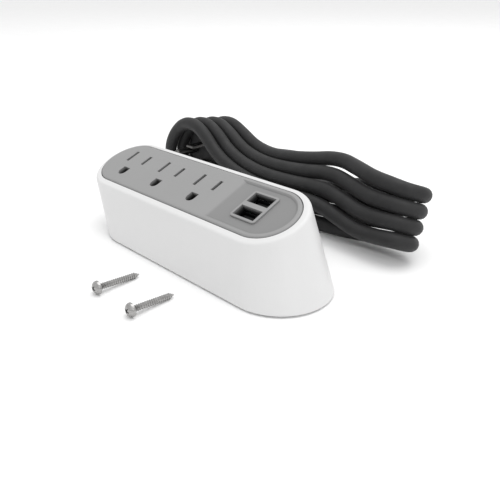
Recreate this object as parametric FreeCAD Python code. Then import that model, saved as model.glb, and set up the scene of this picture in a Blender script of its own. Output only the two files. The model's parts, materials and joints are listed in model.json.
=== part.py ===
import FreeCAD, Part
import math
import os

V = FreeCAD.Vector

# ---- Driving sizes, millimetres and degrees ----
# The housing is a leaning trough: a horizontal base outline joined to a tilted top outline.
# X runs along the strip towards the charging ports, Y to the back, Z up, origin on the desk.
deck_tilt = 21.2            # slope of the top, facing the user
deck_height = 34.5          # middle of the top above the desk
deck_x = -6.65              # middle of the top outline
deck_span = 104.0           # between the centres of its two round ends
deck_half_width = 19.8
base_x = 7.2
base_span = 92.9
base_half_width = 24.8
wall = 2.4
rim_thickness = 2.0
rim_width = 3.3
rim_round = 1.9
skirt_lift = 1.0            # shadow gap between the housing's edge and the desk

plate_gap = 0.3             # clearance round the faceplate
plate_proud = 0.5
plate_thickness = 3.4
plate_round = 1.1
plate_lip = rim_width - wall  # how far the lip reaches under the rim

outlet_count = 3
outlet_pitch = 28.58
first_outlet = -48.2        # from the middle of the top outline
blade_spacing = 12.7
slot_width = 2.0
neutral_slot_length = 8.8
hot_slot_length = 7.4
slot_row = 4.93             # slots' middle, up the slope
ground_row = 11.89          # from the slots' row down to the ground hole
ground_width = 5.2
ground_length = 6.0

port_x = 44.1
port_row = 0.9
port_pitch = 9.5
mouth_length = 12.8
mouth_width = 6.7
boss_length = 15.4
boss_width = 18.7
recess_depth = 1.0
recess_slope = 0.9            # how far its walls lean out
recess_ramp = 3.0
recess_half_width = 13.3
recess_start = 27.5

shutter_travel = 3.2
shutter_thickness = 2.2
shutter_gap = 0.25
carrier_depth = 10.4
carrier_left = -58.6
carrier_right = 26.5
carrier_front = -13.4
carrier_back = 11.6
carrier_round = 11.0
post_radius = 2.7
post_row = -6.2
cover_thickness = 1.6
strip_thickness = 0.8
leaf_thickness = 0.6
fit_gap = 0.15
screw_gap = 0.05

base_thickness = 2.0
base_gap = 0.8
base_low = 0.4
foot_radius = 5.0
foot_reach = 52.0
foot_offset = 9.0
pad_length = 20.0            # the long pad in the middle, under the origin
pad_width = 10.0
foot_recess = 0.9
screw_reach = 36.0
screw_offset = 16.2
boss_radius = 3.3
boss_top = 15.5
keyhole_reach = 32.0
keyhole_entry_radius = 4.6
keyhole_slot_radius = 2.1
keyhole_slot_length = 9.0

board_length = 34.0
board_width = 22.0
board_thickness = 1.6
board_drop = 12.0           # its top face under the deck
board_x = 45.0

cord_diameter = 8.0
gland_x = 12.0
gland_z = 11.0
neck_radius = 5.6
collar_radius = 7.6
collar_thickness = 3.0
strap_thickness = 2.4
elbow_radius = 9.0
relief_length = 24.0

plug_x = -88.0
plug_z = 20.2
plug_face = 77.5
plug_length = 27.0
plug_width = 22.0
plug_height = 21.6
plug_relief = 15.0
blade_reach = 16.0
pin_reach = 18.5

# The cord leaves the gland's tip, lies along the desk to the hank, and runs from it to the plug.
gland_tip = (gland_x - elbow_radius - relief_length, base_half_width + collar_thickness + elbow_radius,
             gland_z - 2.0)
lead_route = [
    gland_tip, (-34.5, 37.9, 6.6), (-47.0, 41.9, 4.7), (-58.5, 49.0, 4.4),
    (-69.5, 58.2, 4.4), (-81.5, 65.3, 4.4), (-95.0, 68.3, 4.4)]
tail_route = [
    (41.0, 77.6, 27.0), (23.0, 83.0, 21.0), (5.0, 95.0, 13.5), (-10.9, 108.8, 7.6),
    (-24.0, 121.0, 4.9), (-34.4, 134.0, 4.4), (-41.6, 146.5, 4.4), (-54.0, 153.7, 4.4),
    (-68.4, 153.7, 4.4), (-80.8, 146.5, 4.9), (-88.0, 134.0, 7.8), (-88.0, 120.0, 14.0)]

out_dir = "parts"


# ---- Helpers ----
def block(x0, x1, y0, y1, z0, z1):
    return Part.makeBox(x1 - x0, y1 - y0, z1 - z0, V(x0, y0, z0))


def rod(radius, start, end):
    start = V(*start)
    end = V(*end)
    return Part.makeCylinder(radius, (end - start).Length, start, end - start)


def joined(shapes):
    return shapes[0].multiFuse(shapes[1:]).removeSplitter() if len(shapes) > 1 else shapes[0]


def stadium_wire(mid, span, half, z):
    left = mid - span / 2
    right = mid + span / 2
    front = Part.LineSegment(V(left, -half, z), V(right, -half, z))
    right_end = Part.Arc(V(right, -half, z), V(right + half, 0, z), V(right, half, z))
    back = Part.LineSegment(V(right, half, z), V(left, half, z))
    left_end = Part.Arc(V(left, half, z), V(left - half, 0, z), V(left, -half, z))
    return Part.Wire([c.toShape() for c in (front, right_end, back, left_end)])


def stadium(mid, span, half, z0, z1):
    face = Part.Face(stadium_wire(mid, span, half, z0))
    return face.extrude(V(0, 0, z1 - z0))


deck_place = FreeCAD.Placement(V(deck_x, 0, deck_height), FreeCAD.Rotation(V(1, 0, 0), deck_tilt))


def on_deck(shape):
    """Move a shape from the deck's own frame (X along, Y up the slope, Z out) to the part's."""
    placed = shape.copy()
    placed.Placement = deck_place.multiply(placed.Placement)
    return placed


def deck_point(u, v, w):
    p = deck_place.multVec(V(u, v, w))
    return (p.x, p.y, p.z)


def rounded_block(x0, x1, y0, y1, z0, z1, radius):
    """A block with its four upright edges rounded."""
    body = block(x0, x1, y0, y1, z0, z1)
    upright = [e for e in body.Edges if abs(e.tangentAt(e.FirstParameter).z) > 0.99]
    return body.makeFillet(radius, upright)


def route_wire(route, report=None):
    """Straight runs joined by tangent arcs as large as the shorter run allows."""
    points = [V(*p) for p in route]
    edges = []
    start = points[0]
    for before, corner, after in zip(points, points[1:], points[2:]):
        run_in = corner - before
        run_out = after - corner
        turn = run_in.getAngle(run_out)
        reach = 0.45 * min(run_in.Length, run_out.Length)
        radius = reach / math.tan(turn / 2)
        if report:
            print(report, "bend radius", round(radius, 1), "turn", round(math.degrees(turn)))
        unit_in = V(run_in).normalize()
        unit_out = V(run_out).normalize()
        first = corner - unit_in * reach
        last = corner + unit_out * reach
        bisector = (unit_out - unit_in).normalize()
        centre = corner + bisector * (radius / math.cos(turn / 2))
        middle = centre - bisector * radius
        edges.append(Part.LineSegment(start, first).toShape())
        edges.append(Part.Arc(first, middle, last).toShape())
        start = last
    edges.append(Part.LineSegment(start, points[-1]).toShape())
    return Part.Wire(edges)


def tube(route, radius, report=None):
    path = route_wire(route, report)
    start = V(*route[0])
    along = V(*route[1]) - start
    section = Part.Wire([Part.makeCircle(radius, start, along)])
    swept = path.makePipeShell([section], True, False)
    if report:
        print(report, "length", round(path.Length, 1),
              "volume share", round(swept.Volume / (path.Length * math.pi * radius ** 2), 4))
    return swept


def pan_screw(head_radius, head_height, shank_radius, length):
    """Cross-recess pan-head screw, head up, underside of the head at the origin."""
    head = Part.makeCylinder(head_radius, head_height)
    rim = [e for e in head.Edges if e.BoundBox.ZMin > head_height / 2]
    head = head.makeFillet(head_height * 0.45, rim)
    point = Part.makeCone(shank_radius * 0.3, shank_radius, shank_radius * 2, V(0, 0, -length))
    shank = Part.makeCylinder(shank_radius, length - shank_radius * 2, V(0, 0, shank_radius * 2 - length))
    screw = joined([head, shank, point])
    arm = head_radius * 0.62
    for turn in (0, 90):
        slot = block(-arm, arm, -head_radius * 0.13, head_radius * 0.13, head_height * 0.4, head_height * 2)
        slot.rotate(V(0, 0, 0), V(0, 0, 1), turn)
        screw = screw.cut(slot)
    return screw


def turned(shape, rotation, place):
    moved = shape.copy()
    moved.Placement = FreeCAD.Placement(V(*place), rotation)
    return moved


def outlet_middles():
    return [first_outlet + i * outlet_pitch for i in range(outlet_count)]


# ---- Housing ----
def trough(inset, drop):
    """The leaning body between the base outline and the deck, inset by a wall."""
    share = drop / deck_height
    mid = (deck_x * (1 - share) + base_x * share) - deck_x
    span = deck_span * (1 - share) + base_span * share
    half = deck_half_width * (1 - share) + base_half_width * share
    low = stadium_wire(base_x, base_span, base_half_width - inset, skirt_lift)
    high = on_deck(stadium_wire(mid, span, half - inset, -drop))
    return Part.makeLoft([low, high], True, True)


def deck_edges(shape, level):
    inverse = deck_place.inverse()
    found = []
    for edge in shape.Edges:
        heights = [inverse.multVec(p).z for p in edge.discretize(5)]
        if max(abs(h - level) for h in heights) < 0.01:
            found.append(edge)
    return found


def base_screw_places():
    return [(base_x + sx * screw_reach, sy * screw_offset) for sx in (-1, 1) for sy in (-1, 1)]


base_top = base_low + base_thickness
base_screw_radius = 1.5
base_screw_length = 11.0


def housing_shell():
    outer = trough(0, 0)
    outer = outer.makeFillet(rim_round, deck_edges(outer, 0))
    shell = outer.cut(trough(wall, rim_thickness))
    opening = stadium(0, deck_span, deck_half_width - rim_width, -rim_thickness * 2, rim_thickness)
    shell = shell.cut(on_deck(opening))
    bosses = []
    for x, y in base_screw_places():
        side = math.copysign(1, y)
        post = rod(boss_radius, (x, y, base_top), (x, y, boss_top))
        outside = side * base_half_width
        rib = block(x - wall / 2, x + wall / 2, min(y, outside), max(y, outside), base_top, boss_top)
        bosses.append(post.fuse(rib).common(outer))
    shell = shell.multiFuse(bosses).removeSplitter()
    for x, y in base_screw_places():
        shell = shell.cut(rod(base_screw_radius + screw_gap, (x, y, 0), (x, y, base_low + base_screw_length)))
    neck_hole = rod(neck_radius + fit_gap, (gland_x, base_half_width - wall * 3, gland_z),
                    (gland_x, base_half_width + wall, gland_z))
    return shell.cut(neck_hole)


# ---- Faceplate ----
plate_low = plate_proud - plate_thickness
plate_half_width = deck_half_width - rim_width - plate_gap
mouth_rows = [port_row - port_pitch / 2, port_row + port_pitch / 2]
carrier_posts = [(carrier_left + post_radius + 1.1, post_row)]
carrier_posts += [(first_outlet + outlet_pitch * (i + 0.5), post_row) for i in range(outlet_count - 1)]
carrier_posts += [(carrier_right - post_radius - 1.0, post_row)]
board_posts = [(board_x - board_length / 2 + 3.2, port_row), (board_x + board_length / 2 - 3.2, port_row)]
carrier_top = plate_low - shutter_thickness - 2 * shutter_gap
carrier_low = carrier_top - carrier_depth
cover_low = carrier_low - cover_thickness
small_screw_radius = 1.2
pilot_radius = small_screw_radius + screw_gap
small_head_radius = 2.3
small_head_height = 1.5


def ground_prism(grow, z0, z1):
    """The ground hole: square towards the slots, round away from them."""
    half = ground_width / 2 + grow
    top = ground_length / 2 + grow
    centre = half - top
    points = [V(-half, centre, z0), V(0, centre - half, z0), V(half, centre, z0)]
    outline = Part.Wire([
        Part.LineSegment(V(-half, top, z0), points[0]).toShape(),
        Part.Arc(*points).toShape(),
        Part.LineSegment(points[2], V(half, top, z0)).toShape(),
        Part.LineSegment(V(half, top, z0), V(-half, top, z0)).toShape()])
    return Part.Face(outline).extrude(V(0, 0, z1 - z0))


def outlet_openings(z0, z1, grow=0.0):
    """Two blade slots and a ground hole for every outlet."""
    cuts = []
    for u in outlet_middles():
        for side, length in ((-1, neutral_slot_length), (1, hot_slot_length)):
            x = u + side * blade_spacing / 2
            half = slot_width / 2 + grow
            reach = length / 2 + grow
            cuts.append(block(x - half, x + half, slot_row - reach, slot_row + reach, z0, z1))
        hole = ground_prism(grow, z0, z1)
        hole.translate(V(u, slot_row - ground_row, 0))
        cuts.append(hole)
    return cuts


def recess_cut():
    """Shallow field round the ports: leaning walls, round at the end, ramp on the outlets' side."""
    low = plate_proud - recess_depth
    high = plate_proud + recess_depth
    left = recess_start - 2 * recess_ramp
    right = deck_span / 2
    mid = (left + right) / 2
    field = Part.makeLoft([stadium_wire(mid, right - left, recess_half_width, low),
                           stadium_wire(mid, right - left, recess_half_width + 2 * recess_slope, high)],
                          True, True)
    y = -deck_half_width
    beyond = left - 2 * deck_half_width
    ramp = Part.makePolygon([V(recess_start, y, low), V(left, y, high), V(beyond, y, high),
                             V(beyond, y, low), V(recess_start, y, low)])
    return field.cut(Part.Face(ramp).extrude(V(0, 2 * deck_half_width, 0)))


def faceplate():
    plate = stadium(0, deck_span, plate_half_width, plate_low, plate_proud)
    top_edges = [e for e in plate.Edges if e.BoundBox.ZMin > plate_proud - 0.01]
    plate = plate.makeFillet(plate_round, top_edges)
    lip = stadium(0.4, deck_span - wall - 0.2, plate_half_width + plate_lip, plate_low,
                  -rim_thickness - fit_gap / 3)
    field = recess_cut()
    port_boss = rounded_block(port_x - boss_length / 2, port_x + boss_length / 2, port_row - boss_width / 2,
                              port_row + boss_width / 2, plate_low, plate_proud - 0.1, 1.6)
    rim = [e for e in port_boss.Edges if e.BoundBox.ZMin > plate_proud - 0.2]
    port_boss = port_boss.makeFillet(0.35, rim)
    plate = plate.cut(field).fuse(lip).fuse(port_boss)
    posts = []
    for u, v in carrier_posts:
        posts.append(rod(post_radius, (u, v, carrier_top + fit_gap), (u, v, plate_low)))
    for u, v in board_posts:
        posts.append(rod(post_radius, (u, v, fit_gap - board_drop), (u, v, plate_low)))
    plate = plate.multiFuse(posts).removeSplitter()
    for u, v in carrier_posts:
        plate = plate.cut(rod(pilot_radius, (u, v, carrier_top - 1), (u, v, plate_proud - 1.4)))
    for u, v in board_posts:
        plate = plate.cut(rod(pilot_radius, (u, v, -board_drop - 1), (u, v, plate_proud - 1.8)))
    cuts = outlet_openings(plate_low - 1, plate_proud + 1)
    for row in mouth_rows:
        cuts.append(block(port_x - mouth_length / 2, port_x + mouth_length / 2, row - mouth_width / 2,
                          row + mouth_width / 2, plate_low - 1, plate_proud + 1))
    return on_deck(plate.cut(Part.makeCompound(cuts)))


# ---- Contacts and their carrier ----
leaf_height = 7.4
leaf_gap = 1.7
strip_low = carrier_low + fit_gap
leaf_top = strip_low + leaf_height
line_strip = (8.4, 10.8)
neutral_strip = (-1.6, 1.2)
ground_strip = (-12.6, -9.9)
strip_margin = 3.0


def clip_spans():
    """Rows that the leaves of each contact cover, tied to the strip they grow from."""
    line_span = (slot_row - 3.0, line_strip[1])
    neutral_span = (neutral_strip[0], slot_row + 3.0)
    ground_span = (ground_strip[0], slot_row - ground_row + 2.6)
    return line_span, neutral_span, ground_span


def strip_ends(side):
    """A bus runs a little past its first and last contacts."""
    middles = outlet_middles()
    shift = side * blade_spacing / 2
    return middles[0] + shift - strip_margin, middles[-1] + shift + strip_margin


def bus(strip, side, span, gap):
    """A brass strip with a pair of spring leaves at each outlet."""
    left, right = strip_ends(side)
    pieces = [block(left, right, strip[0], strip[1], strip_low, strip_low + strip_thickness)]
    for u in outlet_middles():
        x = u + side * blade_spacing / 2
        for leaf in (-1, 1):
            inner = x + leaf * gap / 2
            outer = inner + leaf * leaf_thickness
            pieces.append(block(min(inner, outer), max(inner, outer), span[0], span[1], strip_low, leaf_top))
    return on_deck(joined(pieces))


def outlet_carrier():
    body = rounded_block(carrier_left, carrier_right, carrier_front, carrier_back, carrier_low, carrier_top,
                         carrier_round)
    cuts = outlet_openings(leaf_top, carrier_top + 1, grow=0.3)
    room = 0.4
    line_span, neutral_span, ground_span = clip_spans()
    contacts = ((1, line_span, leaf_gap), (-1, neutral_span, leaf_gap), (0, ground_span, pin_gap))
    for side, strip in ((1, line_strip), (-1, neutral_strip), (0, ground_strip)):
        left, right = strip_ends(side)
        cuts.append(block(left - room, right + room, strip[0] - room, strip[1] + room,
                          carrier_low - 1, strip_low + strip_thickness + room))
    for u in outlet_middles():
        for side, span, gap in contacts:
            x = u + side * blade_spacing / 2
            half = gap / 2 + leaf_thickness + room
            cuts.append(block(x - half, x + half, span[0] - room, span[1] + room,
                              carrier_low - 1, leaf_top + room))
    body = body.cut(Part.makeCompound(cuts))
    for u, v in carrier_posts:
        body = body.cut(rod(pilot_radius, (u, v, carrier_low - 1), (u, v, carrier_top + 1)))
    stops = []
    for u in outlet_middles():
        stops.append(block(u + spring_stop, u + spring_stop + 1.0, slot_row - 2, slot_row + 2,
                           carrier_top - 0.5, plate_low - fit_gap))
    return on_deck(body.multiFuse(stops).removeSplitter())


def carrier_cover():
    plate = rounded_block(carrier_left, carrier_right, carrier_front, carrier_back, cover_low,
                          carrier_low - fit_gap / 3, carrier_round)
    for u, v in carrier_posts:
        plate = plate.cut(rod(pilot_radius, (u, v, cover_low - 1), (u, v, carrier_low + 1)))
    for strip, terminal in core_terminals:
        middle = (strip[0] + strip[1]) / 2
        plate = plate.cut(rod(core_radius + fit_gap, (terminal, middle, cover_low - 1),
                              (terminal, middle, carrier_low + 1)))
    return on_deck(plate)


# ---- Shutters ----
pin_gap = 4.6
shutter_left = -11.3
shutter_right = 8.6
shutter_low = carrier_top + shutter_gap
shutter_high = plate_low - shutter_gap
spring_stop = 15.8
spring_wire = 0.32
spring_coils = 8
spring_radius = 0.72


def shutter(u):
    """Sliding guard: two windows that line up with the slots once it is pushed aside."""
    plate = rounded_block(u + shutter_left, u + shutter_right, slot_row - 5.4, slot_row + 5.4,
                          shutter_low, shutter_high, 0.8)
    for side in (-1, 1):
        x = u + side * blade_spacing / 2 - shutter_travel
        half = slot_width / 2 + 0.2
        window = block(x - half, x + half, slot_row - 4.7, slot_row + 4.7, shutter_low - 1, shutter_high + 1)
        ramp = Part.makePolygon([V(x, slot_row - 4.7, shutter_low), V(x + half, slot_row - 4.7, shutter_low),
                                 V(x + half + 1.6, slot_row - 4.7, shutter_high + 0.1),
                                 V(x, slot_row - 4.7, shutter_high + 0.1), V(x, slot_row - 4.7, shutter_low)])
        plate = plate.cut(window).cut(Part.Face(ramp).extrude(V(0, 9.4, 0)))
    return on_deck(plate)


def shutter_spring(u):
    start = u + shutter_right + spring_wire / 2 + 0.02
    length = spring_stop - shutter_right - spring_wire - 0.04
    helix = Part.makeHelix(length / spring_coils, length, spring_radius)
    section = Part.Wire([Part.makeCircle(spring_wire / 2, V(spring_radius, 0, 0), V(0, 1, 0))])
    coil = Part.Wire(helix.Edges).makePipeShell([section], True, False)
    coil.rotate(V(0, 0, 0), V(0, 1, 0), 90)
    coil.translate(V(start, slot_row, (shutter_low + shutter_high) / 2))
    return on_deck(coil)


# ---- Screws inside ----
def carrier_screws():
    screws = []
    for u, v in carrier_posts:
        length = cover_thickness + carrier_depth + 4
        screw = pan_screw(small_head_radius, small_head_height, small_screw_radius, length)
        flipped = turned(screw, FreeCAD.Rotation(V(1, 0, 0), 180), (u, v, cover_low))
        screws.append(on_deck(flipped))
    return screws


def board_screws():
    screws = []
    for u, v in board_posts:
        screw = pan_screw(small_head_radius, small_head_height, small_screw_radius, 7.0)
        flipped = turned(screw, FreeCAD.Rotation(V(1, 0, 0), 180), (u, v, -board_drop - board_thickness))
        screws.append(on_deck(flipped))
    return screws


def base_screws():
    screws = []
    for x, y in base_screw_places():
        screw = pan_screw(2.6, 1.2, base_screw_radius, base_screw_length - 1.5)
        flip = FreeCAD.Rotation(V(1, 0, 0), 180)
        screws.append(turned(screw, flip, (x, y, base_low + 1.25)))
    return screws


# ---- Charging module ----
shell_half_length = 6.55
shell_half_width = 2.9
shell_sheet = 0.35


def port_shells():
    shells = []
    for row in mouth_rows:
        outer = rounded_block(port_x - shell_half_length, port_x + shell_half_length, row - shell_half_width,
                              row + shell_half_width, -board_drop, plate_low - fit_gap, 0.5)
        inner_length = shell_half_length - shell_sheet
        inner_width = shell_half_width - shell_sheet
        inner = block(port_x - inner_length, port_x + inner_length, row - inner_width, row + inner_width,
                      0.5 - board_drop, plate_low + 1)
        shells.append(on_deck(outer.cut(inner)))
    return shells


tongue_offset = 1.1
tongue_half_length = 5.5
tongue_half_width = 0.95
tongue_top = plate_low - 1.6


def port_tongues():
    tongues = []
    for row in mouth_rows:
        middle = row + tongue_offset
        tongues.append(on_deck(block(port_x - tongue_half_length, port_x + tongue_half_length,
                                     middle - tongue_half_width, middle + tongue_half_width,
                                     0.5 - board_drop, tongue_top)))
    return tongues


def port_contacts():
    strips = []
    for row in mouth_rows:
        face = row + tongue_offset - tongue_half_width
        for place in (-3.5, -1.2, 1.2, 3.5):
            strips.append(on_deck(block(port_x + place - 0.5, port_x + place + 0.5, face - 0.25, face,
                                        0.8 - board_drop, tongue_top - 0.7)))
    return strips


def charger_board():
    board = rounded_block(board_x - board_length / 2, board_x + board_length / 2, port_row - board_width / 2,
                          port_row + board_width / 2, -board_drop - board_thickness, -board_drop, 1.5)
    for u, v in board_posts:
        board = board.cut(rod(pilot_radius, (u, v, -board_drop - 3), (u, v, 1 - board_drop)))
    return on_deck(board)


def charger_transformer():
    top = -board_drop - board_thickness
    core = rounded_block(board_x - 9.5, board_x + 2.5, port_row - 7, port_row + 7, top - 8.2, top, 1.0)
    winding = rounded_block(board_x - 11.0, board_x + 4.0, port_row - 4.2, port_row + 4.2,
                            top - 7.0, top - 1.2, 1.5)
    return on_deck(core.fuse(winding).removeSplitter())


def charger_capacitors():
    top = -board_drop - board_thickness
    cans = []
    for v, radius, height in ((-5.6, 3.6, 8.0), (6.2, 3.1, 7.0)):
        can = rod(radius, (board_x + 8.0, port_row + v, top - height), (board_x + 8.0, port_row + v, top))
        edge = [e for e in can.Edges if e.BoundBox.ZMax < top - height / 2]
        cans.append(on_deck(can.makeFillet(0.6, edge)))
    return cans


# ---- Base plate ----
def foot_places():
    return [(base_x + sx * foot_reach, sy * foot_offset) for sx in (-1, 1) for sy in (-1, 1)]


def middle_pad(grow, depth):
    return rounded_block(-pad_length / 2 - grow, pad_length / 2 + grow, -pad_width / 2 - grow,
                         pad_width / 2 + grow, 0, base_low + depth, 2.0)


clamp_y = base_half_width - wall - 9.0
clamp_width = 6.0
clamp_reach = neck_radius + strap_thickness + small_head_radius + fit_gap
clamp_ear = 2.6
ear_thickness = 1.8


def clamp_block(z0, z1):
    """The clamp's outline between two heights; its lower half is the base plate's seat."""
    half = clamp_reach + clamp_ear
    return block(gland_x - half, gland_x + half, clamp_y - clamp_width / 2, clamp_y + clamp_width / 2, z0, z1)


def neck_bore():
    return rod(neck_radius + fit_gap / 3, (gland_x, clamp_y - clamp_width, gland_z),
               (gland_x, clamp_y + clamp_width, gland_z))


def base_plate():
    plate = stadium(base_x, base_span, base_half_width - wall - base_gap, base_low, base_top)
    for x, y in foot_places():
        plate = plate.cut(rod(foot_radius + fit_gap, (x, y, 0), (x, y, base_low + foot_recess)))
    plate = plate.cut(middle_pad(fit_gap, foot_recess))
    for x, y in base_screw_places():
        plate = plate.cut(rod(base_screw_radius + 2 * fit_gap, (x, y, 0), (x, y, base_top + 1)))
        plate = plate.cut(rod(2.6 + 2 * fit_gap, (x, y, 0), (x, y, base_low + 1.25)))
    for side in (-1, 1):
        x = base_x + side * keyhole_reach
        entry = rod(keyhole_entry_radius, (x, 0, 0), (x, 0, base_top + 1))
        far = x + keyhole_slot_length
        slot = block(x, far, -keyhole_slot_radius, keyhole_slot_radius, 0, base_top + 1)
        end = rod(keyhole_slot_radius, (far, 0, 0), (far, 0, base_top + 1))
        plate = plate.cut(entry.fuse(slot).fuse(end))
    seat = clamp_block(base_top, gland_z - 0.2).cut(neck_bore())
    for side in (-1, 1):
        x = gland_x + side * clamp_reach
        seat = seat.cut(rod(pilot_radius, (x, clamp_y, base_top + 0.5), (x, clamp_y, gland_z + 1)))
    return plate.fuse(seat).removeSplitter()


def rubber_feet():
    feet = [middle_pad(0, foot_recess - screw_gap)]
    for x, y in foot_places():
        pad = rod(foot_radius, (x, y, 0), (x, y, base_low + foot_recess - screw_gap))
        edge = [e for e in pad.Edges if e.BoundBox.ZMax < 0.1]
        feet.append(pad.makeFillet(0.3, edge))
    return feet


# ---- Cord entry ----
elbow_face = base_half_width + collar_thickness
gland_radius = 6.2


def cord_gland():
    """A neck through the back wall, a collar shaped to it, an elbow and a tapered strain relief."""
    neck = rod(neck_radius, (gland_x, clamp_y - clamp_width / 2 - 2, gland_z), (gland_x, elbow_face, gland_z))
    inside = base_half_width - wall * 2
    collar = rod(collar_radius, (gland_x, inside, gland_z), (gland_x, elbow_face, gland_z))
    collar = collar.makeFillet(1.0, [e for e in collar.Edges if e.BoundBox.YMin > elbow_face - 0.1])
    collar = collar.cut(trough(-fit_gap / 3, 0))
    start = V(gland_x, elbow_face, gland_z)
    end = V(gland_x - elbow_radius, gland_tip[1], gland_z)
    lean = elbow_radius * math.sqrt(0.5)
    middle = V(gland_x - elbow_radius + lean, elbow_face + lean, gland_z)
    path = Part.Wire([Part.Arc(start, middle, end).toShape()])
    elbow = path.makePipeShell([Part.Wire([Part.makeCircle(gland_radius, start, V(0, 1, 0))])], True, False)
    wide = Part.Wire([Part.makeCircle(gland_radius, end, V(-1, 0, 0))])
    narrow = Part.Wire([Part.makeCircle(cord_diameter / 2 + 0.8, V(*gland_tip), V(-1, 0, 0))])
    taper = Part.makeLoft([wide, narrow], True, True)
    return joined([neck, collar, elbow, taper])


def cord_clamp():
    outer = rod(neck_radius + strap_thickness, (gland_x, clamp_y - clamp_width / 2, gland_z),
                (gland_x, clamp_y + clamp_width / 2, gland_z))
    strap = outer.fuse(clamp_block(gland_z, gland_z + ear_thickness)).cut(neck_bore())
    strap = strap.cut(clamp_block(0, gland_z))
    for side in (-1, 1):
        x = gland_x + side * clamp_reach
        strap = strap.cut(rod(pilot_radius, (x, clamp_y, 0), (x, clamp_y, gland_z + 9)))
    return strap.removeSplitter()


def clamp_screws():
    screw = pan_screw(small_head_radius, small_head_height, small_screw_radius, 9.0)
    seat_z = gland_z + ear_thickness
    return [turned(screw, FreeCAD.Rotation(), (gland_x + side * clamp_reach, clamp_y, seat_z))
            for side in (-1, 1)]


# ---- Wiring inside ----
core_radius = 0.9
core_start = clamp_y - clamp_width / 2 - 2
core_terminals = [(line_strip, -2.0), (neutral_strip, -8.0), (ground_strip, -14.0)]


def core_wire(number, turn_y):
    """An insulated core from the end of the gland up into the cover, under its bus."""
    strip, terminal = core_terminals[number]
    middle = (strip[0] + strip[1]) / 2
    start_x = gland_x + (number - 1) * 2.2
    end = deck_point(terminal, middle, strip_low - fit_gap / 3)
    below = deck_point(terminal, middle, cover_low - 3.2)
    approach = (below[0] + 4.0, (turn_y + below[1]) / 2, (gland_z + below[2]) / 2)
    route = [(start_x, core_start, gland_z), (start_x, turn_y, gland_z), approach, below, end]
    return tube(route, core_radius)


def feed_wires():
    """The charger's two supply wires, from the cover's end to its board."""
    wires = []
    left = carrier_right - 2.2
    right = board_x - board_length / 2 + 2.2
    under = -board_drop - board_thickness
    for side in (-1, 1):
        v = port_row + side * 3.6
        route = [(left, v, cover_low), (left, v, cover_low - 3.2), (right, v, under - 5.0), (right, v, under)]
        wires.append(tube([deck_point(*p) for p in route], 0.7))
    return wires


# ---- Cord, hank and plug ----
def cord_lead():
    return tube(lead_route, cord_diameter / 2, "lead")


def cord_tail():
    return tube(tail_route, cord_diameter / 2, "tail")


# Outlines of the wound hank across X, as (Y, Z) corners in the same order at every station.
hank_sections = [
    (-115.0, [(64.5, 1.5), (96.5, 1.5), (96.5, 20.0), (96.0, 31.0), (64.5, 33.0), (64.5, 18.0)]),
    (-104.0, [(64.2, 0.4), (101.0, 0.4), (101.0, 20.0), (98.0, 40.0), (64.2, 42.5), (64.2, 20.0)]),
    (-82.0, [(64.2, 0.4), (101.5, 0.4), (101.5, 20.0), (97.5, 42.3), (63.8, 45.0), (63.8, 20.0)]),
    (-66.0, [(64.0, 0.4), (101.0, 0.4), (101.0, 20.0), (93.5, 41.5), (62.6, 35.0), (62.6, 20.0)]),
    (-46.0, [(62.0, 0.4), (98.0, 0.4), (98.0, 14.0), (88.8, 33.0), (64.0, 23.0), (61.0, 18.0)]),
    (0.0, [(59.6, 0.4), (72.0, 0.4), (89.5, 20.0), (83.0, 37.5), (76.0, 37.0), (58.2, 15.0)]),
    (42.0, [(57.5, 0.4), (71.0, 0.4), (83.0, 28.0), (78.0, 40.5), (70.5, 41.0), (54.6, 12.5)]),
    (72.0, [(55.5, 8.0), (70.5, 0.4), (84.2, 26.0), (78.5, 34.0), (65.0, 39.6), (52.0, 12.0)]),
    (85.5, [(59.5, 6.5), (67.0, 4.5), (78.0, 27.0), (75.5, 31.5), (70.5, 33.0), (57.5, 11.5)])]
tunnel_outline = [
    (-107.0, 8.9), (-60.0, 8.9), (-64.0, 20.0), (-77.0, 33.4), (-88.0, 36.2), (-99.0, 34.0), (-107.0, 24.0)]


def cord_hank():
    wires = []
    for x, corners in hank_sections:
        points = [V(x, y, z) for y, z in corners]
        wires.append(Part.makePolygon(points + points[:1]))
    bundle = Part.makeLoft(wires, True, True)
    corners = [V(x, 50, z) for x, z in tunnel_outline]
    tunnel = Part.Face(Part.makePolygon(corners + corners[:1])).extrude(V(0, 70, 0))
    return bundle.cut(tunnel)


def plug_body():
    y0 = plug_face
    y1 = plug_face + plug_length
    body = block(plug_x - plug_width / 2, plug_x + plug_width / 2, y0, y1,
                 plug_z - plug_height / 2, plug_z + plug_height / 2)
    body = body.makeFillet(4.0, [e for e in body.Edges if abs(e.tangentAt(e.FirstParameter).y) > 0.99])
    body = body.makeFillet(1.2, [e for e in body.Edges if e.BoundBox.YMax < y0 + 0.1])
    root = V(plug_x, y1 - 1.0, plug_z)
    tip = V(*tail_route[-1])
    along = (V(*tail_route[-1]) - V(*tail_route[-2]))
    wide = Part.Wire([Part.makeCircle(7.2, root, along)])
    narrow = Part.Wire([Part.makeCircle(cord_diameter / 2 + 0.6, tip, along)])
    return body.fuse(Part.makeLoft([wide, narrow], True, True)).removeSplitter()


blade_x = plug_x + ground_row / 2
pin_x = plug_x - ground_row / 2


def plug_blades():
    blades = []
    for side, width in ((-1, 7.9), (1, 6.3)):
        z = plug_z + side * blade_spacing / 2
        blade = block(blade_x - width / 2, blade_x + width / 2, plug_face - blade_reach, plug_face,
                      z - 0.75, z + 0.75)
        tip = [e for e in blade.Edges if e.BoundBox.YMax < plug_face - blade_reach + 0.1 and e.Length > 2]
        blades.append(blade.makeChamfer(0.45, tip))
    return blades


def plug_ground_pin():
    pin = rod(2.4, (pin_x, plug_face - pin_reach, plug_z), (pin_x, plug_face, plug_z))
    return pin.makeFillet(2.2, [e for e in pin.Edges if e.BoundBox.YMax < plug_face - pin_reach + 0.1])


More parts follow.
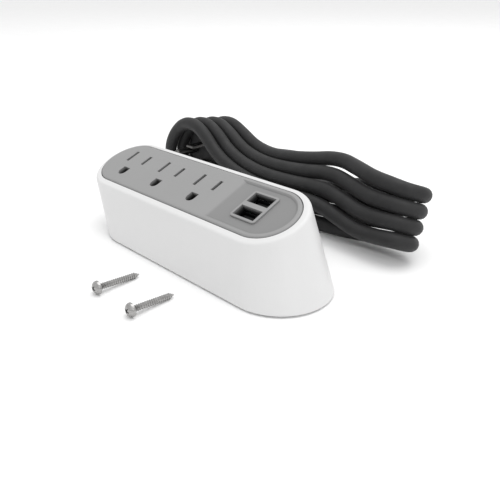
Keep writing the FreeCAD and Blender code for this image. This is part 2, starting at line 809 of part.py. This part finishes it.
# ---- Loose fixing screws ----
fixing_head_radius = 3.15
fixing_head_height = 2.6
fixing_root_radius = 1.05
fixing_crest_radius = 1.5
fixing_thread_length = 22.2
fixing_thread_pitch = 1.1
fixing_tip_length = 3.4
fixing_places = [(0.0, -59.6, -1.2), (26.0, -59.7, -0.3)]    # X, Y under the head, heading from +Y


def fixing_screw():
    """Profile turned about Z: domed head below the origin, thread above it, sharp end up."""
    rim = 0.4
    dome = fixing_head_height - rim
    profile = []
    for step in range(7):
        angle = math.radians(15 * step)
        profile.append(V(fixing_head_radius * math.sin(angle), 0, -rim - dome * math.cos(angle)))
    profile += [V(fixing_head_radius, 0, 0), V(fixing_root_radius, 0, 0)]
    z = 1.2
    while z + fixing_thread_pitch < fixing_thread_length:
        taper = min(1, (fixing_thread_length - z) / fixing_tip_length)
        profile += [V(fixing_root_radius * taper, 0, z),
                    V(fixing_crest_radius * taper, 0, z + 0.4 * fixing_thread_pitch)]
        z += fixing_thread_pitch
    profile.append(V(0, 0, fixing_thread_length))
    outline = Part.Face(Part.makePolygon(profile + profile[:1]))
    screw = outline.revolve(V(0, 0, 0), V(0, 0, 1), 360)
    for turn in (0, 90):
        slot = block(-1.3, 1.3, -0.3, 0.3, -fixing_head_height - 1, -fixing_head_height * 0.5)
        slot.rotate(V(0, 0, 0), V(0, 0, 1), turn + 20)
        screw = screw.cut(slot)
    return screw


def fixing_screws():
    """Two screws lying on the desk, each on the rim of its head and its last full thread."""
    drop = fixing_head_radius - fixing_crest_radius
    lean = math.atan2(drop, fixing_thread_length - fixing_tip_length)
    height = fixing_head_radius * math.cos(lean) + screw_gap
    screws = []
    for x, y, heading in fixing_places:
        lay = FreeCAD.Rotation(V(0, 0, 1), -heading).multiply(
            FreeCAD.Rotation(V(1, 0, 0), -90 - math.degrees(lean)))
        screws.append(turned(fixing_screw(), lay, (x, y, height)))
    return screws


# ---- Write every piece ----
def write(name, shape):
    if isinstance(shape, list):
        shape = Part.makeCompound(shape)
    shape.exportStep(os.path.join(out_dir, name + ".step"))


def main():
    os.makedirs(out_dir, exist_ok=True)
    line_span, neutral_span, ground_span = clip_spans()
    pieces = {
        "housing_shell": housing_shell(),
        "faceplate": faceplate(),
        "outlet_carrier": outlet_carrier(),
        "carrier_cover": carrier_cover(),
        "carrier_screws": carrier_screws(),
        "line_bus": bus(line_strip, 1, line_span, leaf_gap),
        "neutral_bus": bus(neutral_strip, -1, neutral_span, leaf_gap),
        "ground_bus": bus(ground_strip, 0, ground_span, pin_gap),
        "usb_port_shells": port_shells(),
        "usb_tongues": port_tongues(),
        "usb_contacts": port_contacts(),
        "charger_board": charger_board(),
        "charger_transformer": charger_transformer(),
        "charger_capacitors": charger_capacitors(),
        "charger_board_screws": board_screws(),
        "charger_feed_wires": feed_wires(),
        "base_plate": base_plate(),
        "base_screws": base_screws(),
        "rubber_feet": rubber_feet(),
        "cord_gland": cord_gland(),
        "cord_clamp": cord_clamp(),
        "clamp_screws": clamp_screws(),
        "line_wire": core_wire(0, core_start - 2.6),
        "neutral_wire": core_wire(1, core_start - 4.8),
        "ground_wire": core_wire(2, core_start - 7.0),
        "cord_lead": cord_lead(),
        "cord_hank": cord_hank(),
        "cord_tail": cord_tail(),
        "plug_body": plug_body(),
        "plug_blades": plug_blades(),
        "plug_ground_pin": plug_ground_pin(),
        "fixing_screws": fixing_screws(),
    }
    for number, u in enumerate(outlet_middles(), start=1):
        pieces[f"shutter_{number}"] = shutter(u)
        pieces[f"shutter_spring_{number}"] = shutter_spring(u)
    for name, shape in pieces.items():
        write(name, shape)


main()
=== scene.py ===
"""Finish of a desk power strip: its cord, plug, casing, outlets, charging ports and loose screws."""

import json
import math

import bmesh
import bpy
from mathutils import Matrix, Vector


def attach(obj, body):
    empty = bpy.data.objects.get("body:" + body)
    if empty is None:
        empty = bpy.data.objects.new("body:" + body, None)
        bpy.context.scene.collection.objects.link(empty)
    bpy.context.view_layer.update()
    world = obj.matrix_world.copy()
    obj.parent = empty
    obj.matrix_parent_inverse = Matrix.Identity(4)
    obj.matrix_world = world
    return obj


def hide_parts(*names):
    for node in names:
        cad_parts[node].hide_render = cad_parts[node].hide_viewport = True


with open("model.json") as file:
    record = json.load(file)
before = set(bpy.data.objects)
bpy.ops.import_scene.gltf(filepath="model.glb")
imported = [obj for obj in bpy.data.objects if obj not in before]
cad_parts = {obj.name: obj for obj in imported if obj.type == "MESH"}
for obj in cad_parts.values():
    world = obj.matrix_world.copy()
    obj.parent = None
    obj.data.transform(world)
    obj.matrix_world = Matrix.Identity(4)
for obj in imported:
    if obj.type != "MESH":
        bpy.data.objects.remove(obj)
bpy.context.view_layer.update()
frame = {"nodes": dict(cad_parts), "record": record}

bl_info = {
    "name": "Desk Power Strip",
    "version": (1, 0, 0),
    "blender": (4, 5, 0),
    "location": "3D View > Sidebar > Power Strip",
    "description": "Builds the visible pieces and finishes of a desk power strip",
    "category": "Add Mesh",
}

NODES = frame["nodes"]
MM = 0.001
DECK_MIDDLE = (-0.00665, 0.0, 0.0345)
DECK_NORMAL = (0.0, -0.3616, 0.9323)
DECK_LOWEST = -0.0035        # heights over the deck plane between which its tone and painted shade change
DECK_HIGHEST = 0.001
# How far up between those heights, and the share of the colour there; the shares below 0.76 are painted
# shade on the walls of the openings.
DECK_TONES_PAINTED_SHADE = ((0.3, 0.06), (0.58, 0.4), (0.63, 0.76), (0.7, 0.78), (0.8, 1.0))

WELD_DISTANCE = 2e-6         # corners closer than this are one
FLAT_ANGLE = 0.4             # degrees between faces that are really one flat face
SMOOTH_ANGLE = 32.0          # degrees up to which shading runs smoothly over an edge
ROUNDED_ANGLE = 38.0         # degrees from which an edge gets its soft rounding

CAMERA_PLACE = (0.1995, -0.1646, 0.1263)
FLOOR_REACH = 4.0
KEY_PLACE = (0.1, 0.4, 1.5)
KEY_TARGET = (0, 0.05, 0)
KEY_SIZE = 1.7
FILL_PLACE = (0.9, -0.3, 0.5)
FILL_TARGET = (0, 0, 0.02)
FILL_SIZE = 0.8
FILL_SHARE = 0.06            # of the key light's strength
SKY_STRENGTH = 0.92

# Where the cord goes between its gland and the hank, and from the hank to the plug, in metres.
LEAD_POINTS = [
    (-0.0210, 0.0368, 0.0090), (-0.0345, 0.0379, 0.0066), (-0.0470, 0.0419, 0.0047),
    (-0.0585, 0.0490, 0.0044), (-0.0695, 0.0582, 0.0044), (-0.0815, 0.0653, 0.0044)]
TAIL_POINTS = [
    (0.0410, 0.0776, 0.0270), (0.0230, 0.0830, 0.0210), (0.0050, 0.0950, 0.0135),
    (-0.0109, 0.1088, 0.0076), (-0.0240, 0.1210, 0.0049), (-0.0344, 0.1340, 0.0044),
    (-0.0416, 0.1465, 0.0044), (-0.0540, 0.1537, 0.0044), (-0.0684, 0.1537, 0.0044),
    (-0.0808, 0.1465, 0.0049), (-0.0880, 0.1340, 0.0078), (-0.0880, 0.1200, 0.0140)]

# One turn of the hank in millimetres: where the first turn passes, and how far each next turn lies from it.
HANK_TURN = [
    ((-96.0, 68.3, 4.4), (1.5, 8.3, 0.0)),         # from the desk up the left fold
    ((-107.5, 68.2, 7.5), (2.3, 8.3, 0.0)),
    ((-112.0, 68.0, 18.0), (2.5, 8.3, -0.3)),
    ((-105.0, 68.0, 31.0), (2.5, 8.3, -0.6)),
    ((-94.0, 68.0, 39.6), (2.5, 8.3, -0.7)),       # crest of the arch
    ((-82.0, 67.6, 40.4), (2.6, 8.3, -0.5)),
    ((-71.5, 66.8, 35.0), (3.7, 7.6, -0.1)),       # down towards the strip's middle
    ((-61.0, 66.1, 25.5), (4.2, 7.2, 1.4)),
    ((-46.0, 65.2, 19.0), (3.9, 6.6, 3.0)),
    ((-25.0, 63.8, 15.3), (1.7, 6.1, 4.6)),
    ((3.0, 62.2, 15.3), (0.6, 5.6, 6.0)),
    ((26.0, 60.4, 17.2), (0.5, 5.1, 7.4)),
    ((42.0, 58.6, 13.6), (0.2, 4.6, 8.0)),
    ((55.0, 56.6, 11.2), (-0.2, 3.7, 8.5)),
    ((67.0, 55.7, 12.0), (-0.7, 3.7, 8.0)),
    ((76.8, 54.9, 13.6), (-0.9, 4.0, 7.1)),        # the right fold
    ((81.5, 59.3, 11.9), (-0.9, 4.0, 7.1)),
    ((81.5, 65.4, 9.5), (-0.9, 4.0, 7.1)),
    ((76.8, 69.8, 7.8), (-0.9, 4.0, 7.1)),
    ((69.0, 70.2, 6.3), (-0.9, 3.9, 7.2)),
    ((56.0, 68.8, 5.2), (-0.5, 3.7, 7.4)),         # back along the desk
    ((42.0, 65.5, 4.4), (0.0, 4.2, 7.6)),
    ((20.0, 62.7, 4.4), (0.0, 5.8, 6.2)),
    ((-10.0, 64.0, 4.4), (0.0, 7.2, 4.3)),
    ((-48.0, 68.2, 4.4), (0.6, 8.2, 1.4)),
    ((-78.0, 73.2, 4.4), (1.2, 8.3, 0.2))]
HANK_TURNS = 4
LAST_TURN_STATIONS = 21      # the last turn stops here and the tail takes over


# ---- Settings ----
class CasingSettings(bpy.types.PropertyGroup):
    """Casing and faceplate."""
    white: bpy.props.FloatVectorProperty(
        name="Casing", description="Colour of the casing", subtype="COLOR", size=3,
        default=(0.66, 0.66, 0.66))
    grey: bpy.props.FloatVectorProperty(
        name="Faceplate", description="Colour of the faceplate", subtype="COLOR", size=3,
        default=(0.265, 0.265, 0.265))
    edge: bpy.props.FloatProperty(
        name="Edge", description="Width of the soft edge on every moulded corner", unit="LENGTH",
        default=0.0002)


class CordSettings(bpy.types.PropertyGroup):
    """Cord and plug."""
    diameter: bpy.props.FloatProperty(
        name="Diameter", description="Thickness of the cord", unit="LENGTH", default=0.008)
    length: bpy.props.FloatProperty(
        name="Length", description="Length of the cord from its strain relief to its plug", unit="LENGTH",
        default=1.765)
    jacket: bpy.props.FloatVectorProperty(
        name="Jacket", description="Colour of the cord's jacket", subtype="COLOR", size=3,
        default=(0.018, 0.018, 0.0185))


class StageSettings(bpy.types.PropertyGroup):
    """Camera, light and floor."""
    lens: bpy.props.FloatProperty(
        name="Lens", description="Focal length of the camera in millimetres", default=40.28)
    pitch: bpy.props.FloatProperty(
        name="Pitch", description="How far the camera looks down", subtype="ANGLE", default=0.453)
    yaw: bpy.props.FloatProperty(
        name="Yaw", description="How far the camera is turned to the left", subtype="ANGLE", default=0.784)
    floor: bpy.props.FloatVectorProperty(
        name="Floor", description="Colour of the floor", subtype="COLOR", size=3,
        default=(0.92, 0.92, 0.92))
    key: bpy.props.FloatProperty(
        name="Key light", description="Strength of the overhead light", default=12.5)


class StripSettings(bpy.types.PropertyGroup):
    """All settings of the power strip."""
    casing: bpy.props.PointerProperty(type=CasingSettings)
    cord: bpy.props.PointerProperty(type=CordSettings)
    stage: bpy.props.PointerProperty(type=StageSettings)


# ---- Materials ----
class Surface:
    """A material being wired: its nodes read the piece's own space."""

    def __init__(self, name, roughness, metallic=0.0):
        self.material = bpy.data.materials.new(name)
        self.material.use_nodes = True
        tree = self.material.node_tree
        self.nodes = tree.nodes
        self.links = tree.links
        self.shader = self.nodes["Principled BSDF"]
        self.shader.inputs["Roughness"].default_value = roughness
        self.shader.inputs["Metallic"].default_value = metallic
        self.space = self.nodes.new("ShaderNodeTexCoord").outputs["Object"]

    def stretched(self, scale):
        mapping = self.nodes.new("ShaderNodeMapping")
        mapping.inputs["Scale"].default_value = scale
        self.links.new(self.space, mapping.inputs["Vector"])
        return mapping.outputs["Vector"]

    def noise(self, scale, detail=3.0, space=None):
        texture = self.nodes.new("ShaderNodeTexNoise")
        texture.inputs["Scale"].default_value = scale
        texture.inputs["Detail"].default_value = detail
        self.links.new(space or self.space, texture.inputs["Vector"])
        return texture.outputs["Fac"]

    def tone(self, factor, dark, light, low=0.35, high=0.65):
        """Base colour from one tone to another as the factor goes from low to high. Gives its ramp."""
        ramp = self.nodes.new("ShaderNodeValToRGB")
        ramp.color_ramp.elements[0].position = low
        ramp.color_ramp.elements[0].color = (*dark, 1.0)
        ramp.color_ramp.elements[1].position = high
        ramp.color_ramp.elements[1].color = (*light, 1.0)
        self.links.new(factor, ramp.inputs["Fac"])
        self.links.new(ramp.outputs["Color"], self.shader.inputs["Base Color"])
        return ramp.color_ramp

    def gloss(self, factor, low, high):
        spread = self.nodes.new("ShaderNodeMapRange")
        spread.inputs["From Min"].default_value = 0.3
        spread.inputs["From Max"].default_value = 0.7
        spread.inputs["To Min"].default_value = low
        spread.inputs["To Max"].default_value = high
        self.links.new(factor, spread.inputs["Value"])
        self.links.new(spread.outputs["Result"], self.shader.inputs["Roughness"])

    def relief(self, factor, depth, strength=1.0):
        bump = self.nodes.new("ShaderNodeBump")
        bump.inputs["Strength"].default_value = strength
        bump.inputs["Distance"].default_value = depth
        self.links.new(factor, bump.inputs["Height"])
        self.links.new(bump.outputs["Normal"], self.shader.inputs["Normal"])


def shade(colour, share):
    return tuple(min(1.0, c * share) for c in colour)


def moulded(name, colour, roughness, grain=2600.0, depth=0.00002, spread=0.03):
    """Moulded plastic: fine spark-eroded grain, slow drift of tone and gloss."""
    s = Surface(name, roughness)
    drift = s.noise(24.0)
    fine = s.noise(grain, 2.0)
    s.tone(drift, shade(colour, 1 - spread), shade(colour, 1 + spread))
    s.gloss(s.noise(60.0), roughness - 0.04, roughness + 0.05)
    s.relief(fine, depth)
    return s.material


def deck_plastic_painted_shade(name, colour):
    """Faceplate: the field round the ports is a little darker, and the walls of the openings get painted
    shade, darker the deeper they lie.
    """
    s = Surface(name, 0.5)
    centred = s.nodes.new("ShaderNodeVectorMath")
    centred.operation = "SUBTRACT"
    centred.inputs[1].default_value = DECK_MIDDLE
    s.links.new(s.space, centred.inputs[0])
    rise = s.nodes.new("ShaderNodeVectorMath")
    rise.operation = "DOT_PRODUCT"
    rise.inputs[1].default_value = DECK_NORMAL
    s.links.new(centred.outputs["Vector"], rise.inputs[0])
    spread = s.nodes.new("ShaderNodeMapRange")
    spread.inputs["From Min"].default_value = DECK_LOWEST
    spread.inputs["From Max"].default_value = DECK_HIGHEST
    s.links.new(rise.outputs["Value"], spread.inputs["Value"])
    # painted shade: the lowest shares darken the walls of the openings
    (low, dark), *between, (high, light) = DECK_TONES_PAINTED_SHADE
    ramp = s.tone(spread.outputs["Result"], shade(colour, dark), shade(colour, light), low, high)
    for position, share in between:
        ramp.elements.new(position).color = (*shade(colour, share), 1.0)
    s.gloss(s.noise(60.0), 0.46, 0.56)
    s.relief(s.noise(3400.0, 2.0), 0.00003)
    return s.material


def plated(name, colour, roughness, streak=(300.0, 300.0, 300.0)):
    """Plated or stamped metal: drawn streaks and a slightly uneven shine."""
    s = Surface(name, roughness, 1.0)
    streaks = s.noise(1.0, 4.0, s.stretched(streak))
    s.tone(streaks, shade(colour, 0.82), shade(colour, 1.08))
    s.gloss(s.noise(700.0), roughness - 0.08, roughness + 0.12)
    s.relief(streaks, 0.00001)
    return s.material


def jacket(name, colour):
    """Extruded soft jacket: matt, with faint scuffs and a pebbled skin."""
    s = Surface(name, 0.6)
    s.shader.inputs["Specular IOR Level"].default_value = 0.32
    s.shader.inputs["Sheen Weight"].default_value = 0.05
    s.shader.inputs["Sheen Roughness"].default_value = 0.4
    s.tone(s.noise(90.0, 5.0), shade(colour, 0.88), shade(colour, 1.14))
    s.gloss(s.noise(220.0, 4.0), 0.52, 0.66)
    s.relief(s.noise(3200.0, 2.0), 0.00003, 0.7)
    return s.material


def laminate(name):
    """Circuit board: green mask over darker copper islands."""
    s = Surface(name, 0.35)
    cells = s.nodes.new("ShaderNodeTexVoronoi")
    cells.feature = "DISTANCE_TO_EDGE"
    cells.inputs["Scale"].default_value = 420.0
    s.links.new(s.space, cells.inputs["Vector"])
    s.tone(cells.outputs["Distance"], (0.02, 0.11, 0.05), (0.03, 0.19, 0.08), 0.05, 0.12)
    s.relief(cells.outputs["Distance"], 0.00002)
    return s.material


def slot_materials(settings):
    """One finish for every material slot of the record."""
    casing = settings.casing
    cord = settings.cord
    return {
        "housing_plastic": moulded("white_casing", tuple(casing.white), 0.36, spread=0.008),
        "plate_plastic": deck_plastic_painted_shade("grey_faceplate_painted_shade", tuple(casing.grey)),
        "base_plastic": moulded("base_moulding", (0.55, 0.55, 0.54), 0.55, 1800.0, 0.00005, 0.03),
        "carrier_plastic": moulded("dark_carrier", (0.016, 0.016, 0.017), 0.6),
        "shutter_plastic": moulded("shutter_moulding", (0.05, 0.05, 0.05), 0.45),
        "contact_brass": plated("stamped_brass", (0.62, 0.42, 0.16), 0.35, (60.0, 900.0, 900.0)),
        "screw_steel": plated("zinc_plate", (0.40, 0.395, 0.39), 0.27, (500.0, 500.0, 2400.0)),
        "spring_steel": plated("drawn_wire", (0.5, 0.5, 0.5), 0.3, (200.0, 1500.0, 1500.0)),
        # port shells coloured near black: painted shade inside the charging ports
        "port_steel": plated("folded_sheet_painted_shade", (0.05, 0.05, 0.054), 0.45, (120.0, 1200.0, 1200.0)),
        "tongue_plastic": moulded("black_tongue", (0.012, 0.012, 0.013), 0.5),
        "contact_gold": plated("gold_flash", (0.75, 0.52, 0.2), 0.28),
        "board_laminate": laminate("solder_mask"),
        "winding_tape": moulded("yellow_tape", (0.55, 0.4, 0.06), 0.4, 1200.0, 0.00004, 0.08),
        "can_aluminium": plated("can_aluminium", (0.75, 0.75, 0.76), 0.32),
        "foot_rubber": moulded("foot_rubber", (0.02, 0.02, 0.02), 0.8, 900.0, 0.00008, 0.15),
        "cord_rubber": jacket("cord_jacket", tuple(cord.jacket)),
        "core_black": moulded("black_core", (0.015, 0.015, 0.015), 0.4),
        "core_white": moulded("white_core", (0.75, 0.75, 0.72), 0.4),
        "core_green": moulded("green_core", (0.03, 0.25, 0.06), 0.4),
        "core_red": moulded("red_core", (0.4, 0.02, 0.02), 0.4),
        # blades coloured dark: painted shade inside the hank's arch
        "blade_metal": plated("nickel_blade_painted_shade", (0.12, 0.118, 0.115), 0.34, (900.0, 80.0, 900.0)),
    }


FINISHES = {}


def finish_of(slot):
    """The finished material of a slot. The first call makes them all."""
    if not FINISHES:
        FINISHES.update(slot_materials(bpy.context.scene.power_strip))
    return FINISHES[slot]


def slot_of(node):
    for entry in frame["record"]["subparts"]:
        if entry["node"] == node:
            return entry["material_slot"]
    raise ValueError(f"no slot for {node}")


def body_of(node):
    for name, members in frame["record"]["behaviour"]["bodies"].items():
        if node in members:
            return name
    raise ValueError(f"no body for {node}")


def paint(node):
    """Give a node that keeps its own mesh its finish."""
    mesh = NODES[node].data
    mesh.materials.clear()
    mesh.materials.append(finish_of(slot_of(node)))


# ---- Mesh helpers ----
def new_piece(name, bm, node):
    """Turn a bmesh into a piece that takes a node's place, body and finish."""
    mesh = bpy.data.meshes.new(name)
    bm.to_mesh(mesh)
    bm.free()
    piece = bpy.data.objects.new(name, mesh)
    bpy.context.scene.collection.objects.link(piece)
    mesh.materials.append(finish_of(slot_of(node)))
    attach(piece, body_of(node))
    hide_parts(node)
    return piece


def soften(bm, angle):
    """Smooth shading that breaks at edges sharper than the angle."""
    for face in bm.faces:
        face.smooth = True
    for edge in bm.edges:
        if len(edge.link_faces) == 2:
            edge.smooth = edge.calc_face_angle(0.0) < angle


def smoothed(node, name):
    """A node's own shape as one clean skin, smooth but for its real edges."""
    bm = bmesh.new()
    bm.from_mesh(NODES[node].data)
    bmesh.ops.remove_doubles(bm, verts=bm.verts, dist=WELD_DISTANCE)
    bmesh.ops.dissolve_limit(bm, angle_limit=math.radians(FLAT_ANGLE), verts=bm.verts, edges=bm.edges)
    soften(bm, math.radians(SMOOTH_ANGLE))
    return new_piece(name, bm, node)


def refined(node, name, edge_width):
    """The same skin with softly rounded edges."""
    piece = smoothed(node, name)
    bevel = piece.modifiers.new("edges", "BEVEL")
    bevel.width = edge_width
    bevel.segments = 2
    bevel.limit_method = "ANGLE"
    bevel.angle_limit = math.radians(ROUNDED_ANGLE)
    bevel.harden_normals = True


# ---- Pieces ----
def cord_points():
    """Lead, hank and tail as one run of points in metres."""
    points = list(LEAD_POINTS)
    for turn in range(HANK_TURNS):
        stations = HANK_TURN if turn < HANK_TURNS - 1 else HANK_TURN[:LAST_TURN_STATIONS]
        for place, step in stations:
            points.append(tuple((p + turn * s) * MM for p, s in zip(place, step)))
    return points + TAIL_POINTS


class STRIP_OT_camera(bpy.types.Operator):
    """Place the camera"""
    bl_idname = "power_strip.camera"
    bl_label = "Camera"

    def execute(self, context):
        stage = context.scene.power_strip.stage
        data = bpy.data.cameras.new("camera")
        data.lens = stage.lens
        data.clip_start = 0.01
        camera = bpy.data.objects.new("camera", data)
        context.scene.collection.objects.link(camera)
        camera.location = CAMERA_PLACE
        camera.rotation_euler = (math.pi / 2 - stage.pitch, 0.0, stage.yaw)
        context.scene.camera = camera
        return {"FINISHED"}


class STRIP_OT_cord(bpy.types.Operator):
    """Lay the cord from its strain relief through the hank to the plug"""
    bl_idname = "power_strip.cord"
    bl_label = "Cord"

    def execute(self, context):
        settings = context.scene.power_strip.cord
        curve = bpy.data.curves.new("cord", "CURVE")
        curve.dimensions = "3D"
        curve.resolution_u = 10
        curve.bevel_depth = settings.diameter / 2
        curve.bevel_resolution = 6
        spline = curve.splines.new("NURBS")
        points = cord_points()
        spline.points.add(len(points) - 1)
        for point, place in zip(spline.points, points):
            point.co = (*place, 1.0)
        spline.order_u = 3
        spline.use_endpoint_u = True
        cord = bpy.data.objects.new("mains_cord", curve)
        context.scene.collection.objects.link(cord)
        curve.materials.append(finish_of("cord_rubber"))
        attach(cord, "strip")
        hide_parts("cord_lead", "cord_hank", "cord_tail")
        return {"FINISHED"}


class STRIP_OT_casing(bpy.types.Operator):
    """Finish the casing, the faceplate and the base"""
    bl_idname = "power_strip.casing"
    bl_label = "Casing"

    def execute(self, context):
        edge = context.scene.power_strip.casing.edge
        refined("housing_shell", "casing", edge)
        refined("faceplate", "top_plate", edge)
        refined("base_plate", "bottom_plate", edge)
        for node in ("base_screws", "rubber_feet"):
            paint(node)
        return {"FINISHED"}


class STRIP_OT_outlets(bpy.types.Operator):
    """Finish the shutters, contacts and carrier behind the outlets"""
    bl_idname = "power_strip.outlets"
    bl_label = "Outlets"

    def execute(self, context):
        for node in ("outlet_carrier", "carrier_cover", "carrier_screws", "line_bus", "neutral_bus",
                     "ground_bus"):
            paint(node)
        for number in (1, 2, 3):
            paint(f"shutter_{number}")
            paint(f"shutter_spring_{number}")
        return {"FINISHED"}


class STRIP_OT_charger(bpy.types.Operator):
    """Finish the charging ports and their board"""
    bl_idname = "power_strip.charger"
    bl_label = "Charger"

    def execute(self, context):
        for node in ("usb_port_shells", "usb_tongues", "usb_contacts", "charger_board",
                     "charger_transformer", "charger_capacitors", "charger_board_screws",
                     "charger_feed_wires"):
            paint(node)
        return {"FINISHED"}


class STRIP_OT_wiring(bpy.types.Operator):
    """Finish the gland, its clamp and the wires inside"""
    bl_idname = "power_strip.wiring"
    bl_label = "Wiring"

    def execute(self, context):
        smoothed("cord_gland", "strain_relief")
        for node in ("cord_clamp", "clamp_screws", "line_wire", "neutral_wire", "ground_wire"):
            paint(node)
        return {"FINISHED"}


class STRIP_OT_plug(bpy.types.Operator):
    """Finish the plug"""
    bl_idname = "power_strip.plug"
    bl_label = "Plug"

    def execute(self, context):
        edge = context.scene.power_strip.casing.edge
        refined("plug_body", "plug_moulding", edge)
        smoothed("plug_ground_pin", "ground_pin")
        paint("plug_blades")
        return {"FINISHED"}


class STRIP_OT_screws(bpy.types.Operator):
    """Finish the two loose fixing screws"""
    bl_idname = "power_strip.screws"
    bl_label = "Fixing screws"

    def execute(self, context):
        smoothed("fixing_screws", "screw_pair")
        return {"FINISHED"}


def area_light(name, place, target, size, power):
    data = bpy.data.lights.new(name, "AREA")
    data.shape = "DISK"
    data.size = size
    data.energy = power
    lamp = bpy.data.objects.new(name, data)
    bpy.context.scene.collection.objects.link(lamp)
    lamp.location = place
    lamp.rotation_euler = (Vector(target) - Vector(place)).to_track_quat("-Z", "Y").to_euler()


class STRIP_OT_stage(bpy.types.Operator):
    """Make the floor and the studio light"""
    bl_idname = "power_strip.stage"
    bl_label = "Stage"

    def execute(self, context):
        stage = context.scene.power_strip.stage
        bm = bmesh.new()
        bmesh.ops.create_grid(bm, x_segments=8, y_segments=8, size=FLOOR_REACH)
        mesh = bpy.data.meshes.new("floor")
        bm.to_mesh(mesh)
        bm.free()
        floor = bpy.data.objects.new("floor", mesh)
        context.scene.collection.objects.link(floor)
        mesh.materials.append(moulded("pale_floor", tuple(stage.floor), 0.6, 900.0, 0.0, 0.01))
        area_light("key", KEY_PLACE, KEY_TARGET, KEY_SIZE, stage.key)
        area_light("fill", FILL_PLACE, FILL_TARGET, FILL_SIZE, stage.key * FILL_SHARE)
        world = bpy.data.worlds.new("studio")
        world.use_nodes = True
        sky = world.node_tree.nodes["Background"]
        sky.inputs["Color"].default_value = (1.0, 1.0, 1.0, 1.0)
        sky.inputs["Strength"].default_value = SKY_STRENGTH
        context.scene.world = world
        context.scene.view_settings.view_transform = "Standard"
        return {"FINISHED"}


class STRIP_PT_panel(bpy.types.Panel):
    """Buttons for every piece"""
    bl_idname = "STRIP_PT_panel"
    bl_label = "Power Strip"
    bl_space_type = "VIEW_3D"
    bl_region_type = "UI"
    bl_category = "Power Strip"

    def draw(self, context):
        settings = context.scene.power_strip
        for group in (settings.casing, settings.cord, settings.stage):
            for name in group.__annotations__:
                self.layout.prop(group, name)
        for operator in OPERATORS:
            self.layout.operator(operator.bl_idname)


OPERATORS = (
    STRIP_OT_camera, STRIP_OT_plug, STRIP_OT_cord, STRIP_OT_casing, STRIP_OT_outlets,
    STRIP_OT_charger, STRIP_OT_wiring, STRIP_OT_screws, STRIP_OT_stage)
CLASSES = (CasingSettings, CordSettings, StageSettings, StripSettings, *OPERATORS, STRIP_PT_panel)


def register():
    for cls in CLASSES:
        bpy.utils.register_class(cls)
    bpy.types.Scene.power_strip = bpy.props.PointerProperty(type=StripSettings)


def unregister():
    del bpy.types.Scene.power_strip
    for cls in reversed(CLASSES):
        bpy.utils.unregister_class(cls)


def main():
    register()
    for operator in OPERATORS:
        group, name = operator.bl_idname.split(".")
        getattr(getattr(bpy.ops, group), name)()


if __name__ == "__main__":
    main()
